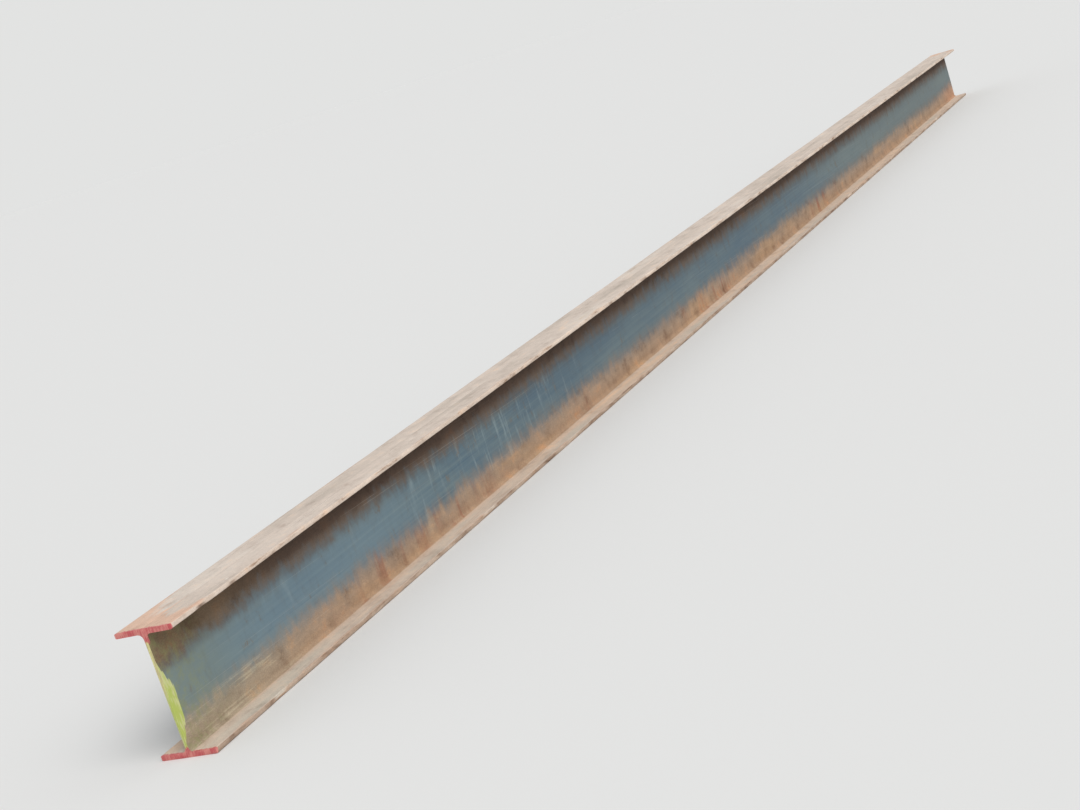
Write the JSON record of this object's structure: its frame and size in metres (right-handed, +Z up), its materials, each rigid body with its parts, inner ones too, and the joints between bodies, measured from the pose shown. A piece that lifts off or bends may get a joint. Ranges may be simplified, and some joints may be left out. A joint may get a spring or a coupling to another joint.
{
  "type": "steel i-beam",
  "caption": "Hot rolled steel i-beam with parallel flanges and sawn ends, one plain length of building stock, rusty with mill scale and painted end faces.",
  "frame": {"origin": "on the underside of the bottom flange, half way along the beam and under the middle of the web", "axes": "+X along the beam towards the far end, +Y across the flanges, +Z up the web"},
  "size_m": [6, 0.1, 0.2],
  "materials": {
    "rolled_steel": "as rolled: blue-grey mill scale with brown and orange rust, end faces brushed with red and yellow-green marking paint"
  },
  "bodies": {
    "root": {"i_beam": "rolled_steel"}
  },
  "joints": []
}
